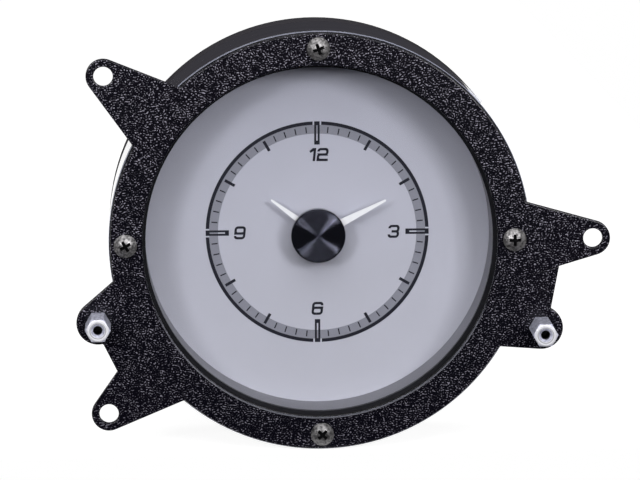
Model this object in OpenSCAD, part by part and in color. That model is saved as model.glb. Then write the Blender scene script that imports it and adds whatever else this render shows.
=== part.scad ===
// Round car clock on its mounting bracket, as it stands in a dash: the dial faces -Y and 12 o'clock is +Z.
// The origin is the centre of the bracket's face opening, on the bracket's front face.
// Every module is drawn lying down, with +Z out of the dial, and then stood up.

/* [Bracket] */
// Outside diameter of the bracket's ring
bracket_d = 120.65; // [118:0.05:124]
// Width of the ring round the face opening
ring_w = 9.175; // [8.8:0.025:11.3]
// Thickness of the bracket's sheet
bracket_t = 2; // [1.5:0.1:3]
// Distance of the three ear holes out from the ring
ear_out = 18.275; // [16:0.025:23.5]
// Angle of each left ear above or below the horizontal
left_ear_angle = 38.5; // [34:0.5:42]
// Radius of the round end of an ear
ear_tip_r = 5; // [4.2:0.1:6]
// Half of the angle that an ear's root spans on the ring
ear_root_angle = 10.3; // [8:0.1:12]
// Diameter of the hole in an ear
ear_hole_d = 5.56; // [4:0.02:6.4]
// Distance along an ear's edge from the ring to the web beside it
web_notch_run = 9.9; // [7:0.1:12]

/* [Standoffs] */
// Angle of the left standoff below the horizontal
left_standoff_drop = 19.23; // [17.5:0.01:21]
// Distance of the left standoff out from the ring
left_standoff_out = 7.67; // [6.2:0.01:9]
// Angle of the right standoff below the horizontal
right_standoff_drop = 22.2; // [20.5:0.1:24]
// Distance of the right standoff out from the ring
right_standoff_out = 8.475; // [6.2:0.025:10]
// Radius of the bracket's lobe round a standoff
lobe_r = 6.25; // [5.5:0.05:7]
// Width of a standoff across its flats
standoff_flats = 6.35; // [5:0.05:8]
// Length of a standoff
standoff_l = 12.7; // [9:0.1:20]
// Diameter of a standoff's tapped hole
standoff_tap_d = 2.7; // [2:0.05:3.5]
// Depth of a standoff's tapped hole
standoff_tap_depth = 7.5; // [4:0.1:8]
// Diameter of the countersunk mouth of that hole
standoff_mouth_d = 4.2; // [3.6:0.1:4.8]

/* [Screws] */
// Distance of the four face screws in from the ring's edge
screw_inset = 4.325; // [3.825:0.025:5]
// Thread diameter of the face, cover and standoff screws
screw_d = 3.5; // [3:0.1:4]
// Head diameter of those screws
screw_head_d = 6.65; // [5.8:0.05:7.4]
// Head height of those screws
screw_head_h = 2; // [1.4:0.1:2.6]
// Length of a face screw under its head
face_screw_l = 15; // [12:0.5:18]
// Length of a cover screw under its head
cover_screw_l = 9; // [6:0.5:12]
// Length of a standoff screw under its head
standoff_screw_l = 6; // [5:0.1:6.5]

/* [Lens and bezel] */
// Distance that the lens stands out past the bracket's ring
lens_over = 0.475; // [0:0.025:0.85]
// Thickness of the lens
lens_t = 2; // [1.2:0.1:3]
// Angle of the lens's indexing tab above the right
lens_tab_angle = 42.6; // [30:0.2:60]
// Width of the indexing tab
lens_tab_w = 5; // [3:0.2:9]
// How far the indexing tab stands out from the lens
lens_tab_reach = 0.9; // [0.4:0.1:2]
// Thickness of the rubber ring behind the lens
gasket_t = 0.8; // [0.5:0.1:1.5]
// Distance from the face opening's edge out to the rubber ring
gasket_margin = 0.35; // [0:0.05:1.5]
// Thickness of the black bezel
bezel_t = 1.7; // [1.2:0.1:3]
// Width of the bezel that shows inside the face opening
bezel_show = 0.95; // [0.4:0.05:2]
// Step from the bezel's edge back to the grey reflector ring
reflector_step = 0.1; // [0:0.05:0.5]

/* [Dial] */
// Depth of the dial below the bracket's face
dial_depth = 20.2; // [17:0.1:23]
// Thickness of the dial
dial_t = 1; // [0.6:0.1:1.4]
// Thickness of the light guide
guide_t = 2.5; // [2:0.1:3]
// Thickness of the printed layers
print_t = 0.06; // [0.04:0.01:0.15]
// Outside diameter of the chapter ring
chapter_d = 65.2; // [58:0.2:72]
// Width of the dark line at the chapter ring's edge
chapter_line_w = 1; // [0.5:0.05:1.5]
// Width of the grey minute band inside that line
minute_band_w = 2.6; // [2:0.1:4]
// Turn of the dial's print against the bracket
dial_turn = -0.4; // [-2:0.1:2]
// Gap between the dark line and the ticks
tick_gap = 0.55; // [0.3:0.05:0.8]
// Length of a minute tick
minute_tick_l = 1.75; // [1:0.05:2]
// Width of a minute tick
minute_tick_w = 0.35; // [0.2:0.05:0.6]
// Length of an hour tick
hour_tick_l = 3.3; // [2:0.1:4]
// Width of an hour tick
hour_tick_w = 0.85; // [0.5:0.05:1.2]
// Length of the marker at each quarter
quarter_l = 6.8; // [5:0.1:9]
// Width of the marker at each quarter
quarter_w = 1.6; // [1:0.05:2.4]
// Width of the light slot inside a quarter marker
quarter_slot_w = 0.4; // [0.2:0.05:0.8]
// Dark margin at each end of that slot
quarter_margin = 1.15; // [0.4:0.05:1.5]
// Bare gap in the dark line beside a quarter marker
quarter_gap = 0.45; // [0.3:0.05:1]
// Distance of the numerals in from the chapter ring's edge
numeral_inset = 10; // [8.8:0.1:12.6]
// Height of a numeral
numeral_h = 3.85; // [2.8:0.05:4.4]
// Width of a numeral
numeral_w = 3.3; // [2.4:0.1:3.8]
// Stroke of a numeral
numeral_stroke = 0.7; // [0.4:0.05:0.8]
// Slant of the numerals, in degrees
numeral_slant = 6; // [0:0.5:12]

/* [Hands] */
// Hour that the hands show
show_hours = 10; // [0:1:11]
// Minutes that the hands show
show_minutes = 10.6; // [0:0.1:59.9]
// Lead of the hour hand over the exact time, in degrees
hour_hand_lead = 2; // [0:0.5:6]
// Length of the minute hand from the centre
minute_hand_l = 22.2; // [18:0.2:27]
// Width of the minute hand at its root
minute_hand_w = 3.1; // [2:0.1:4]
// Length of the hour hand from the centre
hour_hand_l = 17; // [14:0.2:21]
// Width of the hour hand at its root
hour_hand_w = 2.3; // [1.8:0.1:4]
// Width of both hands at the tip
hand_tip_w = 0.6; // [0.4:0.1:1.2]
// Thickness of a hand
hand_t = 0.4; // [0.3:0.05:0.6]
// Diameter of the cap over the hands
hub_cap_d = 15.8; // [13:0.2:19]
// Thickness of the cap
hub_cap_t = 2.7; // [2:0.1:4]
// Height of the cap's face above the dial
hub_cap_rise = 8; // [7.8:0.1:9.5]
// Bevel round the cap's face
hub_cap_bevel = 0.4; // [0.2:0.1:0.8]

/* [Case] */
// Distance that the can and its covers stand out past the bracket's ring
can_over = 0.375; // [0.2:0.025:2]
// Wall of the can
can_wall = 2; // [1.5:0.1:2.4]
// Room between the movement and the rear cover
movement_room = 9.3; // [0.8:0.1:14]
// Thickness of the rear cover
cover_t = 2.4; // [1.8:0.1:3]
// Bevel round the rear cover's edge
cover_bevel = 0.6; // [0.3:0.1:1]
// Radius of a screw column inside the can
column_r = 3.6; // [3.4:0.05:3.6]
// Overlap of the light guide's edge on the ledges that carry it
ledge_tuck = 3.5; // [2:0.1:3.8]
// Width of a ledge
ledge_w = 6; // [4:0.2:7]
// Height of a ledge
ledge_h = 4; // [2.5:0.1:5]
// Height of the cover's locating ring
spigot_h = 2; // [1:0.1:2.6]
// Wall of the cover's locating ring
spigot_wall = 1.5; // [1:0.1:2]

/* [Circuit board] */
// Gap between the board's edge and the ledges
board_gap = 1; // [0.5:0.1:2.5]
// Gap in the board round the movement
board_hole_gap = 3; // [2:0.1:5]
// Thickness of the board
board_t = 1.6; // [1:0.1:2]
// Height of the posts that carry the board
post_h = 5; // [4.6:0.1:5.4]
// Diameter of a post
post_d = 6; // [5:0.1:7]
// Distance of the posts in from the board's edge
post_inset = 6.5; // [5.5:0.1:8.5]
// Thread diameter of the board screws
board_screw_d = 2.5; // [2:0.1:3]
// Head diameter of the board screws
board_screw_head_d = 4.5; // [4:0.1:5.2]
// Number of backlight lamps
led_count = 12; // [8:4:12]
// Distance of the lamps and parts in from the board's edge
led_inset = 10; // [8.5:0.1:13]
// Length of a lamp's case
led_l = 3.5; // [2.5:0.1:4]
// Width of a lamp's case
led_w = 2.8; // [2:0.1:3.2]
// Height of a lamp's case
led_h = 1.9; // [1:0.1:2.2]
// Side of the controller chip
chip_side = 10; // [7:0.5:11]
// Height of the controller chip
chip_h = 1.5; // [1:0.1:2]
// Length of the timing crystal
crystal_l = 11; // [8:0.2:12]
// Width of the timing crystal
crystal_w = 4.6; // [3.6:0.1:5]
// Height of the timing crystal
crystal_h = 3.5; // [2.5:0.1:4]
// Diameter of the filter capacitor
capacitor_d = 6.3; // [5:0.1:8]
// Height of the filter capacitor
capacitor_h = 4.6; // [3.5:0.1:4.8]

/* [Terminal block] */
// Number of ways in the terminal block
way_count = 4; // [2:1:5]
// Spacing of the ways
way_pitch = 5.08; // [5:0.02:5.5]
// Depth of the block, up the case's back
block_w = 8; // [7:0.1:9]
// Height of the block off the board
block_h = 14.4; // [14:0.1:16]
// Distance of the block in from the board's edge
block_inset = 9.5; // [8.5:0.1:10.5]
// Diameter of a wire hole
wire_hole_d = 3; // [2.4:0.1:3.2]
// Depth of a wire hole
wire_hole_depth = 6; // [4:0.1:6.5]
// Diameter of a clamp screw's head
clamp_head_d = 3.4; // [3:0.1:3.6]
// Height of a clamp screw's head
clamp_head_h = 1.2; // [0.8:0.1:1.4]
// Diameter of a clamp screw's thread
clamp_thread_d = 2; // [1.6:0.1:2.6]
// Depth of a clamp screw's tip in the block
clamp_tip_depth = 2.4; // [2:0.1:3]

/* [Set buttons] */
// Distance of each button from the middle
button_x = 9; // [7:0.5:12]
// Distance of the buttons in from the board's edge
button_inset = 9.5; // [8.5:0.1:11.5]
// Diameter of a button's stem
button_d = 3.5; // [3:0.1:4]
// Length that a button stands out of the cover
button_out = 1.5; // [1:0.1:3]
// Travel of a button
button_travel = 0.8; // [0.4:0.05:0.8]
// Side of a switch
switch_side = 6; // [5.5:0.1:7]
// Height of a switch
switch_h = 3.1; // [2.8:0.1:3.2]

/* [Movement] */
// Diameter of the movement's two plates
plate_d = 50; // [49.4:0.2:52]
// Thickness of the movement's plates
plate_t = 1; // [0.8:0.1:1.2]
// Space between the plates
plate_gap = 6.6; // [6.4:0.1:7]
// Distance of the pillars in from the plates' edge
pillar_inset = 3; // [2.2:0.1:4]
// Radius of a pillar
pillar_r = 1.8; // [1.5:0.1:2]
// Thread diameter of the movement screws
movement_screw_d = 1.6; // [1.2:0.1:1.8]
// Outside diameter of the centre bush
bush_d = 6.8; // [6:0.1:7.4]
// Width of the bush's nut across its flats
nut_flats = 9; // [8.4:0.1:10]
// Height of the bush's nut
nut_h = 1.8; // [1.2:0.1:2]
// Outside diameter of the hour wheel's tube
hour_tube_d = 4; // [3.6:0.1:4.4]
// Diameter of the minute arbor
arbor_d = 2; // [1.6:0.1:2.4]
// Diameter of the minute arbor's rear pivot
pivot_d = 1.2; // [0.8:0.1:1.4]
// Diameter of the arbors of the third wheel and the rotor
small_arbor_d = 0.9; // [0.7:0.05:0.9]
// Diameter of their pivots
small_pivot_d = 0.6; // [0.4:0.05:0.6]
// Diameter of the stud that carries the motion wheel
stud_d = 1.4; // [1:0.1:1.6]
// Teeth of the cannon pinion
cannon_teeth = 15; // [15:1:15]
// Teeth of the motion wheel
motion_teeth = 45; // [45:1:45]
// Teeth of the motion wheel's pinion
motion_pinion_teeth = 12; // [12:1:12]
// Teeth of the hour wheel
hour_teeth = 48; // [48:1:48]
// Teeth of the minute wheel
minute_teeth = 60; // [60:1:60]
// Teeth of the third wheel's pinion
third_pinion_teeth = 8; // [8:1:8]
// Teeth of the third wheel
third_teeth = 40; // [40:1:40]
// Teeth of the rotor's pinion
rotor_pinion_teeth = 10; // [10:1:10]
// Module of the motion work
motion_module = 0.3; // [0.28:0.01:0.32]
// Module of the minute wheel
minute_module = 0.265; // [0.255:0.005:0.275]
// Module of the third wheel
third_module = 0.27; // [0.26:0.005:0.28]
// Radius of the rotor's magnet
magnet_r = 2.5; // [2.2:0.1:2.6]
// Length of the rotor's magnet
magnet_l = 2.2; // [1.8:0.1:2.4]
// Width of the stator's arms
stator_arm_w = 3.5; // [2.8:0.1:3.8]
// Thickness of the stator and of the coil's core
stator_t = 1; // [0.8:0.1:1.2]
// Height of the coil's bobbin, up the dial
bobbin_w = 6; // [5:0.1:6.4]
// Thickness of the coil's bobbin, through the clock
bobbin_t = 4.8; // [4:0.1:5]

/* [Clearances] */
// Gap round a screw's thread in its tapped hole
thread_gap = 0.05; // [0.02:0.01:0.1]
// Gap round a screw where it passes through
pass_gap = 0.25; // [0.15:0.05:0.4]
// Gap round a turning or sliding shaft
run_gap = 0.05; // [0.03:0.01:0.09]
// Gap of a hand or wheel on its own arbor
seat_gap = 0.02; // [0.01:0.01:0.05]
// Gap at the ends of the arbors and of the other moving parts
end_gap = 0.1; // [0.05:0.05:0.2]
// Gap round a part in a window
window_gap = 0.3; // [0.2:0.05:0.5]
// Gap between the screw columns and what sits inside them
nest_gap = 0.2; // [0.1:0.05:0.4]

/* [Hidden] */
$fn = 96;

eps = 0.01;
cut = 1;
quarter_turns = [0, 90, 180, 270];

// Levels through the clock, from the bracket's face backwards
bracket_back = -bracket_t;
lens_back = bracket_back - lens_t;
gasket_back = lens_back - gasket_t;
bezel_back = gasket_back - bezel_t;
dial_face = -dial_depth;
dial_back = dial_face - dial_t;
guide_back = dial_back - guide_t;
plate_inner = guide_back - plate_t;
plate_rear = plate_inner - plate_gap;
movement_back = plate_rear - plate_t;
can_end = movement_back - movement_room;
cover_back = can_end - cover_t;
board_back = can_end + post_h;
board_front = board_back + board_t;

// Heights of the hands over the dial
cap_face = dial_face + hub_cap_rise;
cap_base = cap_face - hub_cap_t;
hand_step = 0.9;
minute_hand_top = cap_base;
hour_hand_top = minute_hand_top - hand_t - hand_step;
tube_top = hour_hand_top + 0.2;
bush_top = hour_hand_top - hand_t - 0.3;
arbor_top = cap_face - 1.2;
hand_boss_r = 3;

// Layers of the gear train, below the inner face of the front plate
hour_wheel_t = 0.8;
motion_wheel_t = 0.6;
minute_wheel_t = 0.6;
third_wheel_t = 0.5;
pinion_over = 0.2;
hour_gap = 0.4;
motion_gap = 0.6;
minute_gap = 1.1;
third_gap = 0.9;
magnet_gap = 0.8;
hour_layer = plate_inner - hour_gap;
motion_layer = hour_layer - hour_wheel_t - motion_gap;
minute_layer = motion_layer - motion_wheel_t - minute_gap;
third_layer = minute_layer - minute_wheel_t - third_gap;
magnet_layer = plate_inner - magnet_gap;
stator_layer = magnet_layer - (magnet_l - stator_t) / 2;

// Centres of the gear train
motion_dir = 90;
third_dir = -30;
rotor_dir = -60;
motion_reach = motion_module * (cannon_teeth + motion_teeth) / 2;
hour_module = 2 * motion_reach / (motion_pinion_teeth + hour_teeth);
third_reach = minute_module * (minute_teeth + third_pinion_teeth) / 2;
rotor_reach = third_module * (third_teeth + rotor_pinion_teeth) / 2;
motion_at = motion_reach * [cos(motion_dir), sin(motion_dir)];
third_at = third_reach * [cos(third_dir), sin(third_dir)];
rotor_at = third_at + rotor_reach * [cos(rotor_dir), sin(rotor_dir)];

// Motor's iron circuit
stator_eye_r = magnet_r + 0.5;
stator_disc_r = stator_eye_r + 2;
stator_left = -13;
coil_drop = 7.1;
core_y = rotor_at[1] - coil_drop;
bobbin_wall = 0.8;
bobbin_end_gap = 2;

// Round parts, sized from the bracket's ring
bracket_r = bracket_d / 2;
opening_r = bracket_r - ring_w;
ear_hole_reach = bracket_r + ear_out;
screw_circle_r = bracket_r - screw_inset;
lens_r = bracket_r + lens_over;
can_r = bracket_r + can_over;
gasket_bore_r = opening_r + gasket_margin;
bezel_bore_r = opening_r - bezel_show;
reflector_bore_r = bezel_bore_r + reflector_step;
reflector_r = screw_circle_r - column_r - nest_gap;
dial_r = reflector_r - nest_gap;
ledge_reach = dial_r - ledge_tuck;
board_r = ledge_reach - board_gap;
board_hole_r = plate_d / 2 + board_hole_gap;
post_reach = board_r - post_inset;
led_reach = board_r - led_inset;
block_drop = board_r - block_inset;
button_rise = board_r - button_inset;
pillar_reach = plate_d / 2 - pillar_inset;
numeral_reach = chapter_d / 2 - numeral_inset;

// Places shared by a hole and what goes through it
standoff_left_at = polar(bracket_r + left_standoff_out, 180 + left_standoff_drop);
standoff_right_at = polar(bracket_r + right_standoff_out, -right_standoff_drop);
pillar_angles = [20, 160, 200, 340];
post_angles = [45, 135, 225, 315];
thread_r = screw_d / 2 + thread_gap;
pass_r = screw_d / 2 + pass_gap;
column_tap_depth = 11;
column_rear_tap_depth = 8;
standoff_rear_depth = standoff_screw_l - bracket_t + 0.3;
block_l = way_count * way_pitch;
block_back = board_back - block_h;
wire_level = cover_back - 0.6 - wire_hole_d / 2;
clamp_recess_d = clamp_head_d + 0.4;
clamp_recess_h = clamp_head_h + 0.2;
switch_top = board_back - switch_h;
button_flange_r = button_d / 2 + 0.85;
button_flange_t = 0.8;
button_nub_r = 1;
switch_hole_r = button_nub_r + 0.3;

// Where the bracket's webs run
right_web_spread = 9;
left_web_spread = 9.53;
right_web_root = -right_standoff_drop - right_web_spread;
right_web_angle = 64;
left_web_root = 180 + left_standoff_drop - left_web_spread;
left_web_angle = -77.5;

function polar(r, a) = r * [cos(a), sin(a)];
function unit(v) = v / norm(v);
function turned(v, a) = [v[0] * cos(a) - v[1] * sin(a), v[0] * sin(a) + v[1] * cos(a)];

// Point where a line from p touches the circle of radius r round c; side is 1 or -1
function tangent_point(p, c, r, side) =
    let (v = c - p, far = norm(v), run = sqrt(far * far - r * r))
    p + run * turned(unit(v), side * asin(r / far));

// Root of an ear's edge on the ring, and the web's notch part way along that edge
function ear_root(a, side) = polar(bracket_r, a + side * ear_root_angle);
function ear_tangent(a, side) =
    tangent_point(ear_root(a, side), polar(ear_hole_reach, a), ear_tip_r, side);
function web_notch(a) = ear_root(a, -1) + web_notch_run * unit(ear_tangent(a, -1) - ear_root(a, -1));

// Stands the clock up, so that the dial faces -Y
module upright() rotate([90, 0, 0]) children();

module around(angles, reach)
    for (a = angles) rotate(a) translate([reach, 0, 0]) children();

module at(p, z = 0) translate([p[0], p[1], z]) children();

module disc(r, top, bottom, bore = 0)
    translate([0, 0, bottom]) difference() {
        cylinder(r = r, h = top - bottom);
        if (bore > 0) translate([0, 0, -cut]) cylinder(r = bore, h = top - bottom + 2 * cut);
    }

module slab(l, w, top, bottom)
    translate([-l / 2, -w / 2, bottom]) cube([l, w, top - bottom]);

module hexagon(flats, h) cylinder(r = flats / 2 / cos(30), h = h, $fn = 6);

// Drills through everything that a screw circle crosses
module face_screw_holes(r, top, bottom)
    around(quarter_turns, screw_circle_r)
        translate([0, 0, bottom]) cylinder(r = r, h = top - bottom);

// Pan-head screw with a cross recess, its head on z = 0 and its thread going down
module pan_screw(d, head_d, head_h, l, turn = 0) {
    dome_r = head_d * 0.75;
    recess_w = head_d * 0.14;
    recess_l = head_d * 0.5;
    difference() {
        union() {
            intersection() {
                cylinder(r = head_d / 2, h = head_h);
                translate([0, 0, head_h - dome_r]) sphere(r = dome_r);
            }
            translate([0, 0, -l]) cylinder(r = d / 2, h = l + eps);
        }
        rotate(turn) for (a = [0, 90]) rotate(a)
            translate([-recess_l / 2, -recess_w / 2, head_h * 0.4]) cube([recess_l, recess_w, head_h]);
    }
}

// Toothed wheel on the z axis; one tooth, or one gap, points along the angle given
module toothed(teeth, size, top, bottom, bore, tooth_at, gap = false) {
    pitch_r = teeth * size / 2;
    step = 360 / teeth;
    tip_r = pitch_r + 0.7 * size;
    root_r = pitch_r - 1.25 * size;
    root_half = 0.24;
    tip_half = 0.08;
    start = tooth_at + (gap ? step / 2 : 0);
    tooth = [[root_r, -root_half], [tip_r, -tip_half], [tip_r, tip_half], [root_r, root_half]];
    outline = [for (i = [0:teeth - 1], k = tooth) polar(k[0], start + (i + k[1]) * step)];
    translate([0, 0, bottom]) difference() {
        linear_extrude(top - bottom) polygon(outline);
        translate([0, 0, -cut]) cylinder(r = bore, h = top - bottom + 2 * cut);
    }
}

// Bracket

module ear(a)
    polygon([[0, 0], ear_root(a, -1), ear_tangent(a, -1), polar(ear_hole_reach, a), ear_tangent(a, 1),
        ear_root(a, 1)]);

module ear_tip(a) at(polar(ear_hole_reach, a)) circle(r = ear_tip_r);

// Web from the ring round a standoff's lobe, and back to the notch in the ear beside it
module web(lobe, root_angle, meet_angle, ear_angle) {
    root = polar(bracket_r, root_angle);
    polygon([[0, 0], root, tangent_point(root, lobe, lobe_r, -1), lobe,
        lobe + polar(lobe_r, meet_angle), web_notch(ear_angle), ear_root(ear_angle, -1)]);
    at(lobe) circle(r = lobe_r);
}

module bracket_outline() {
    circle(r = bracket_r);
    for (a = [0, 180 - left_ear_angle, 180 + left_ear_angle]) {
        ear(a);
        ear_tip(a);
    }
    web(standoff_right_at, right_web_root, right_web_angle, 0);
    web(standoff_left_at, left_web_root, left_web_angle, 180 + left_ear_angle);
}

module mounting_bracket() {
    color([0.05, 0.05, 0.06]) upright() difference() {
        translate([0, 0, bracket_back]) linear_extrude(bracket_t) bracket_outline();
        translate([0, 0, bracket_back - cut]) {
            cylinder(r = opening_r, h = bracket_t + 2 * cut);
            for (a = [0, 180 - left_ear_angle, 180 + left_ear_angle])
                at(polar(ear_hole_reach, a)) cylinder(r = ear_hole_d / 2, h = bracket_t + 2 * cut);
            for (p = [standoff_left_at, standoff_right_at])
                at(p) cylinder(r = pass_r, h = bracket_t + 2 * cut);
        }
        face_screw_holes(pass_r, cut, bracket_back - cut);
    }
}

module standoff(p) {
    bevel = 0.4;
    corner_r = standoff_flats / 2 / cos(30);
    mouth_h = (standoff_mouth_d - standoff_tap_d) / 2;
    color([0.75, 0.76, 0.78]) upright() at(p) difference() {
        intersection() {
            hexagon(standoff_flats, standoff_l);
            union() {
                cylinder(r = corner_r + eps, h = standoff_l - bevel);
                translate([0, 0, standoff_l - bevel])
                    cylinder(r1 = corner_r + eps, r2 = corner_r - 2 * bevel, h = bevel);
            }
        }
        translate([0, 0, standoff_l - standoff_tap_depth])
            cylinder(r = standoff_tap_d / 2, h = standoff_tap_depth + cut);
        translate([0, 0, standoff_l - mouth_h])
            cylinder(r1 = standoff_tap_d / 2, r2 = standoff_mouth_d / 2 + eps, h = mouth_h + eps);
        translate([0, 0, -cut]) cylinder(r = thread_r, h = standoff_rear_depth + cut);
    }
}

module standoff_left() standoff(standoff_left_at);

module standoff_right() standoff(standoff_right_at);

module standoff_screws() {
    color([0.6, 0.6, 0.62]) upright() for (p = [standoff_left_at, standoff_right_at])
        at(p, bracket_back) rotate([180, 0, 0])
            pan_screw(screw_d, screw_head_d, screw_head_h, standoff_screw_l);
}

// Turn of each face screw's recess, counted from the screw on the right
face_screw_turns = [0, 20, 30, 45];

module bracket_screws() {
    color([0.33, 0.31, 0.3]) upright() for (i = [0:3])
        rotate(quarter_turns[i]) translate([screw_circle_r, 0, 0])
            pan_screw(screw_d, screw_head_d, screw_head_h, face_screw_l, face_screw_turns[i] - quarter_turns[i]);
}

// Lens and inner wall

module lens() {
    color([0.85, 0.9, 0.92, 0.3]) upright() difference() {
        union() {
            disc(lens_r, bracket_back, lens_back);
            rotate(lens_tab_angle) translate([lens_r - cut, -lens_tab_w / 2, lens_back])
                cube([cut + lens_tab_reach, lens_tab_w, lens_t]);
        }
        face_screw_holes(pass_r, bracket_back + cut, lens_back - cut);
    }
}

module lens_gasket() {
    color([0.08, 0.08, 0.08]) upright() difference() {
        disc(lens_r, lens_back, gasket_back, gasket_bore_r);
        face_screw_holes(pass_r, lens_back + cut, gasket_back - cut);
    }
}

module front_bezel() {
    color([0.07, 0.07, 0.08]) upright() difference() {
        disc(can_r, gasket_back, bezel_back, bezel_bore_r);
        face_screw_holes(pass_r, gasket_back + cut, bezel_back - cut);
    }
}

module reflector_ring() {
    color([0.45, 0.45, 0.48]) upright() disc(reflector_r, bezel_back, dial_face, reflector_bore_r);
}

// Dial

module dial_plate() {
    color([0.7, 0.71, 0.77]) upright()
        disc(dial_r, dial_face, dial_back, bush_d / 2 + window_gap);
}

module ring_2d(outer, inner) difference() {
    circle(r = outer);
    circle(r = inner);
}

module bar_2d(from, to, w, a) rotate(a) translate([from, -w / 2]) square([to - from, w]);

band_outer = chapter_d / 2 - chapter_line_w;
band_inner = band_outer - minute_band_w;
tick_outer = band_outer - tick_gap;

module ticks_2d() {
    for (i = [0:59])
        if (i % 15 != 0) {
            if (i % 5 == 0) bar_2d(tick_outer - hour_tick_l, tick_outer, hour_tick_w, 6 * i);
            else bar_2d(tick_outer - minute_tick_l, tick_outer, minute_tick_w, 6 * i);
        }
}

module quarter_markers_2d() {
    for (a = quarter_turns) difference() {
        bar_2d(chapter_d / 2 - quarter_l, chapter_d / 2, quarter_w, a);
        bar_2d(chapter_d / 2 - quarter_l + quarter_margin, chapter_d / 2 - quarter_margin,
            quarter_slot_w, a);
    }
}

// Raises a flat drawing into a printed layer on the dial
module printed() upright() translate([0, 0, dial_face]) rotate(dial_turn) linear_extrude(print_t) children();

module minute_band() {
    color([0.58, 0.6, 0.63]) printed()
        difference() {
            ring_2d(band_outer, band_inner);
            quarter_markers_2d();
            ticks_2d();
        }
}

module dial_marks() {
    color([0.2, 0.21, 0.24]) printed() {
        ticks_2d();
        quarter_markers_2d();
        difference() {
            ring_2d(chapter_d / 2, band_outer);
            for (a = quarter_turns)
                bar_2d(band_outer - cut, chapter_d / 2 + cut, quarter_w + 2 * quarter_gap, a);
        }
    }
}

// A box with round corners, centred, and the stroke that follows its edge
module soft_box(w, h, r) {
    square([w, h - 2 * r], center = true);
    square([w - 2 * r, h], center = true);
    for (x = [-1, 1], y = [-1, 1]) translate([x * (w / 2 - r), y * (h / 2 - r)]) circle(r = r);
}

module soft_frame(w, h) {
    corner_r = numeral_stroke * 1.4;
    difference() {
        soft_box(w, h, corner_r);
        soft_box(w - 2 * numeral_stroke, h - 2 * numeral_stroke, corner_r - numeral_stroke + 0.05);
    }
}

// The two stacked loops that the numerals 2, 3, 6 and 9 are cut from
loop_h = (numeral_h + numeral_stroke) / 2;
loop_y = (numeral_h - loop_h) / 2;
side_x = numeral_w / 2 - numeral_stroke / 2;
hook_end = numeral_h * 0.23;

module loop(y, h = loop_h) translate([0, y]) soft_frame(numeral_w, h);

// Takes away one side of a loop between two heights
module side_cutter(x, from, to) translate([x - numeral_stroke, from])
    square([2 * numeral_stroke, to - from]);

module numeral_one() {
    top = numeral_h / 2;
    flag_w = numeral_w * 0.48;
    flag_drop = numeral_w * 0.26;
    translate([-numeral_stroke / 2, -top]) square([numeral_stroke, numeral_h]);
    polygon([[0, top], [-numeral_stroke * 0.9, top], [-flag_w, top - flag_drop],
        [-flag_w + numeral_stroke * 0.5, top - flag_drop - numeral_stroke * 0.8],
        [-numeral_stroke / 2, top - numeral_stroke * 1.3], [0, top - numeral_stroke]]);
}

module numeral_two() {
    difference() {
        union() {
            loop(loop_y);
            loop(-loop_y);
            translate([-numeral_w / 2, -numeral_h / 2]) square([numeral_w, numeral_stroke]);
        }
        side_cutter(-side_x, numeral_stroke / 2, hook_end);
        side_cutter(side_x, numeral_stroke - numeral_h / 2, -numeral_stroke / 2);
    }
}

module numeral_three() {
    difference() {
        union() {
            loop(loop_y);
            loop(-loop_y);
        }
        side_cutter(-side_x, -hook_end, hook_end);
        translate([-numeral_w / 2 - eps, -numeral_stroke])
            square([numeral_w * 0.3, 2 * numeral_stroke]);
    }
}

module numeral_six() {
    lower_h = numeral_h * 0.64;
    lower_top = lower_h - numeral_h / 2;
    difference() {
        union() {
            soft_frame(numeral_w, numeral_h);
            loop((lower_h - numeral_h) / 2, lower_h);
        }
        side_cutter(side_x, lower_top, hook_end);
    }
}

module slanted(x, y) translate([x, y])
    multmatrix([[1, tan(numeral_slant), 0, 0], [0, 1, 0, 0], [0, 0, 1, 0], [0, 0, 0, 1]]) children();

module dial_numerals() {
    nudge = 0.25;
    color([0.2, 0.21, 0.24]) printed() {
        slanted(-1.07 * numeral_stroke, numeral_reach + nudge) numeral_one();
        slanted(numeral_w / 2, numeral_reach + nudge) numeral_two();
        slanted(numeral_reach - nudge, 0) numeral_three();
        slanted(0, -numeral_reach) numeral_six();
        slanted(-numeral_reach, 0) rotate(180) numeral_six();
    }
}

// Hands

function clock_dir(turn) = 90 - turn;
minute_dir = clock_dir(6 * show_minutes);
hour_dir = clock_dir(30 * show_hours + show_minutes / 2 + hour_hand_lead);

module hand(l, w, dir, top, bore) {
    translate([0, 0, top - hand_t]) difference() {
        linear_extrude(hand_t) {
            circle(r = hand_boss_r);
            rotate(dir) polygon([[0, -w / 2], [l - hand_tip_w / 2, -hand_tip_w / 2],
                [l, -hand_tip_w / 6], [l, hand_tip_w / 6], [l - hand_tip_w / 2, hand_tip_w / 2],
                [0, w / 2]]);
        }
        translate([0, 0, -cut]) cylinder(r = bore, h = hand_t + 2 * cut);
    }
}

module minute_hand() {
    color([0.95, 0.95, 0.95]) upright()
        hand(minute_hand_l, minute_hand_w, minute_dir, minute_hand_top, arbor_d / 2 + seat_gap);
}

module hour_hand() {
    color([0.95, 0.95, 0.95]) upright()
        hand(hour_hand_l, hour_hand_w, hour_dir, hour_hand_top, hour_tube_d / 2 + seat_gap);
}

module hub_cap() {
    color([0.04, 0.04, 0.06]) upright() difference() {
        union() {
            disc(hub_cap_d / 2, cap_face - hub_cap_bevel, cap_base);
            translate([0, 0, cap_face - hub_cap_bevel])
                cylinder(r1 = hub_cap_d / 2, r2 = hub_cap_d / 2 - hub_cap_bevel, h = hub_cap_bevel);
        }
        translate([0, 0, cap_base - cut])
            cylinder(r = arbor_d / 2 + seat_gap, h = arbor_top + end_gap - cap_base + cut);
    }
}

// Movement

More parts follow.
